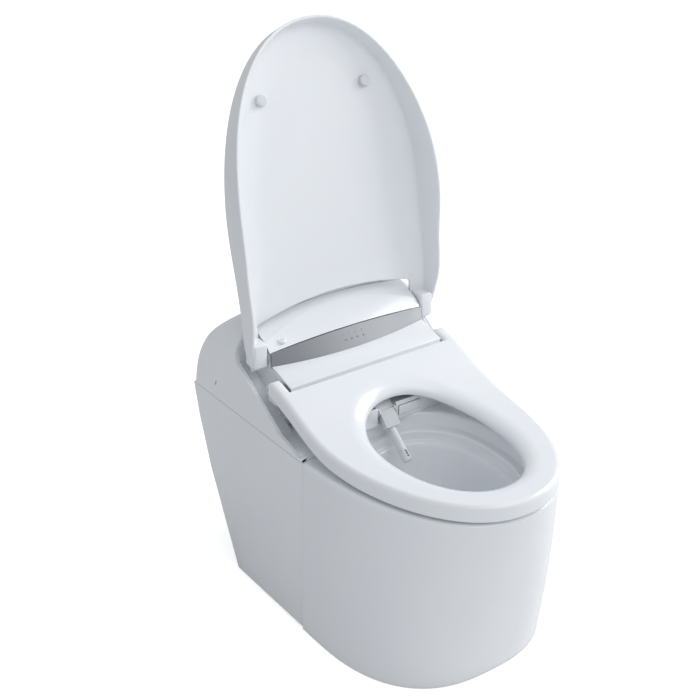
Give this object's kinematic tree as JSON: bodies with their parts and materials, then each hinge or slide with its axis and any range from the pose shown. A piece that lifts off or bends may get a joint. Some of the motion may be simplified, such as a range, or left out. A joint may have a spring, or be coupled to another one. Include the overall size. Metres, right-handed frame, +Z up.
{
  "type": "smart toilet",
  "caption": "Floor-standing skirted toilet with an integrated washing seat, raised dished lid, silver indicator band and an extended wash nozzle over the bowl.",
  "frame": {"origin": "centre of the object's box at floor level, with the lid standing open as in the picture", "axes": "+Z up, -Y towards the bowl's nose where the user sits facing, +Y towards the wall, -X the side that the picture shows"},
  "size_m": [0.4122, 0.694, 1.0062],
  "materials": {
    "glazed_ceramic": "high gloss white glaze",
    "white_gloss": "gloss white",
    "seat_white": "gloss white, softly rounded",
    "white_satin": "satin white",
    "silver_band": "silver paint, satin",
    "lens": "clear, smooth",
    "nozzle_grey": "light grey gloss",
    "bumper": "light grey, soft",
    "rubber": "black, matt",
    "pipe_plastic": "grey, matt",
    "dark_plastic": "black, matt",
    "hose": "grey, smooth",
    "steel": "brushed",
    "galvanised": "galvanised sheet",
    "foil": "foil",
    "circuit_board": "green laminate",
    "filter": "porous, dark",
    "brass": "machined"
  },
  "bodies": {
    "base": {"base_plate": "white_satin", "base_screws": "steel", "board_posts": "white_satin", "ceramic_bowl": "glazed_ceramic", "control_box": "dark_plastic", "deodoriser_cartridge": "filter", "deodoriser_motor": "steel", "deodoriser_scroll": "dark_plastic", "dryer_duct": "white_satin", "dryer_motor": "steel", "dryer_scroll": "dark_plastic", "flush_hose": "hose", "flush_pump": "pipe_plastic", "front_flap": "white_gloss", "front_wall": "white_satin", "indicator_band": "silver_band", "indicator_board": "circuit_board", "indicator_lenses": "lens", "left_hinge_tower": "white_satin", "left_side_panel": "white_gloss", "lid_damper": "dark_plastic", "lid_motor": "dark_plastic", "nozzle_guide": "white_satin", "nozzle_guide_feet": "white_satin", "nozzle_motor": "steel", "outlet_connector": "pipe_plastic", "outlet_seal": "rubber", "panel_brackets": "galvanised", "power_gland": "rubber", "rear_casing": "white_gloss", "rear_frame": "galvanised", "right_hinge_tower": "white_satin", "right_side_panel": "white_gloss", "seat_damper": "dark_plastic", "seat_motor": "dark_plastic", "sensor_dome": "lens", "side_tab": "white_satin", "stop_valve": "pipe_plastic", "top_cover": "white_gloss", "wash_pump": "dark_plastic", "water_heater": "white_satin", "water_inlet": "brass", "water_valve": "pipe_plastic"},
    "lid": {"lid": "white_gloss", "lid_hinge_blocks": "white_satin", "lid_pins": "steel", "lid_bumpers": "bumper"},
    "seat": {"seat_upper": "seat_white", "seat_heater": "foil", "seat_lower": "seat_white", "seat_bumpers": "bumper", "seat_hinge_arms": "white_satin", "seat_pins": "steel"},
    "nozzle": {"nozzle_wand": "white_gloss", "nozzle_tip": "nozzle_grey"},
    "nozzle_shutter": {"nozzle_shutter": "nozzle_grey"},
    "dryer_flap": {"dryer_flap": "nozzle_grey"},
    "dryer_fan": {"dryer_fan": "dark_plastic"},
    "deodoriser_fan": {"deodoriser_fan": "dark_plastic"}
  },
  "joints": [
    {"name": "lid_hinge", "type": "hinge", "parent": "base", "child": "lid", "pos_m": [0, 0.16, 0.475], "axis": [1, 0, 0], "range_deg": [0, 112]},
    {"name": "seat_hinge", "type": "hinge", "parent": "base", "child": "seat", "pos_m": [0, 0.11, 0.425], "axis": [1, 0, 0], "range_deg": [-90, 0]},
    {"name": "nozzle_slide", "type": "slide", "parent": "base", "child": "nozzle", "axis": [0, 0.766, 0.6428], "range_m": [0, 0.06]},
    {"name": "nozzle_shutter_hinge", "type": "hinge", "parent": "base", "child": "nozzle_shutter", "pos_m": [-0.0045, 0.01579, 0.36991], "axis": [1, 0, 0], "range_deg": [-20, 0]},
    {"name": "dryer_flap_hinge", "type": "hinge", "parent": "base", "child": "dryer_flap", "pos_m": [0.0435, 0.01345, 0.3707], "axis": [1, 0, 0], "range_deg": [-35, 0]},
    {"name": "dryer_fan_spin", "type": "hinge", "parent": "base", "child": "dryer_fan", "pos_m": [0.066, 0.106, 0.3668], "axis": [0, 0, 1], "continuous": true},
    {"name": "deodoriser_fan_spin", "type": "hinge", "parent": "base", "child": "deodoriser_fan", "pos_m": [-0.074, 0.106, 0.3668], "axis": [0, 0, 1], "continuous": true}
  ]
}
